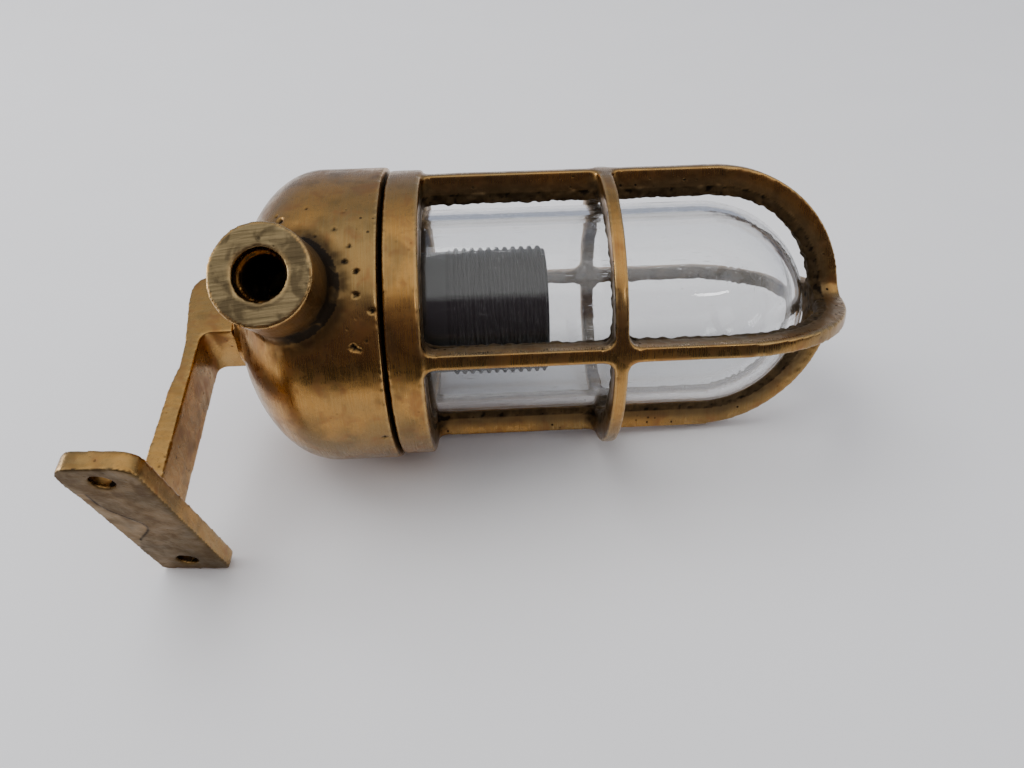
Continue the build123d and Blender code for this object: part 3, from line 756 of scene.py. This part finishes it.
# Light of the sky by its angle from overhead in degrees: below 0 at the back, and above 0 at the
# front, where the room is dark
SKY = [
    (-90, (0.4, 0.44, 0.55)),
    (-30, (0.5, 0.54, 0.64)),
    (-12, (1.15, 1.15, 1.15)),
    (34, (1.25, 1.25, 1.25)),
    (42, (0.19, 0.15, 0.18)),
    (75, (0.1, 0.075, 0.085)),
]
BACKDROP = colour(0.57, 0.57, 0.58)

world = bpy.data.worlds.new("studio")
bpy.context.scene.world = world
world.use_nodes = True
sky = world.node_tree
background = sky.nodes["Background"]
background.inputs["Strength"].default_value = 1.0


def sky_math(operation, *values):
    made = sky.nodes.new("ShaderNodeMath")
    made.operation = operation
    for socket, value in zip(made.inputs, values):
        if isinstance(value, bpy.types.NodeSocket):
            sky.links.new(value, socket)
        else:
            socket.default_value = value
    return made.outputs[0]


direction = sky.nodes.new("ShaderNodeTexCoord")
parts = sky.nodes.new("ShaderNodeSeparateXYZ")
sky.links.new(direction.outputs["Generated"], parts.inputs[0])
backwards = sky_math("ARCTAN2", parts.outputs["Y"], parts.outputs["Z"])
share = sky.nodes.new("ShaderNodeMapRange")
share.inputs["From Min"].default_value = math.radians(90)
share.inputs["From Max"].default_value = math.radians(-90)
sky.links.new(backwards, share.inputs["Value"])
tones = sky.nodes.new("ShaderNodeValToRGB")
while len(tones.color_ramp.elements) < len(SKY):
    tones.color_ramp.elements.new(0.5)
for element, (angle, light) in zip(tones.color_ramp.elements, SKY):
    element.position = (angle + 90) / 180
    element.color = colour(*light)
sky.links.new(share.outputs["Result"], tones.inputs[0])

# The backdrop, seen straight on or through the glass, is as pale as the floor
path = sky.nodes.new("ShaderNodeLightPath")
unreflected = sky_math("LESS_THAN", path.outputs["Glossy Depth"], 0.5)
seen = sky_math(
    "MULTIPLY_ADD", path.outputs["Is Transmission Ray"], unreflected, path.outputs["Is Camera Ray"]
)
backdrop = sky.nodes.new("ShaderNodeMix")
backdrop.data_type = "RGBA"
backdrop.inputs[7].default_value = BACKDROP
sky.links.new(seen, backdrop.inputs["Factor"])
sky.links.new(tones.outputs[0], backdrop.inputs[6])
sky.links.new(backdrop.outputs[2], background.inputs["Color"])

CAMERA_PLACE = Vector((0.00195, -0.18631, 0.193))
CAMERA_LOOKS_DOWN = math.radians(41.91)
CAMERA_LOOKS_RIGHT = math.radians(0.31)
CAMERA_ROLL = math.radians(-3.48)
CAMERA_LENS = 28.0
CAMERA_SENSOR = 36.0
CAMERA_NEAR = 0.01
camera = bpy.data.objects.new("camera", bpy.data.cameras.new("camera"))
camera.data.lens = CAMERA_LENS
camera.data.sensor_width = CAMERA_SENSOR
camera.data.clip_start = CAMERA_NEAR
camera.location = CAMERA_PLACE
sight = Vector(
    (
        math.sin(CAMERA_LOOKS_RIGHT) * math.cos(CAMERA_LOOKS_DOWN),
        math.cos(CAMERA_LOOKS_RIGHT) * math.cos(CAMERA_LOOKS_DOWN),
        -math.sin(CAMERA_LOOKS_DOWN),
    )
)
camera.rotation_mode = "QUATERNION"
roll = Matrix.Rotation(CAMERA_ROLL, 4, "Z").to_quaternion()
camera.rotation_quaternion = sight.to_track_quat("-Z", "Y") @ roll
bpy.context.scene.collection.objects.link(camera)
bpy.context.scene.camera = camera
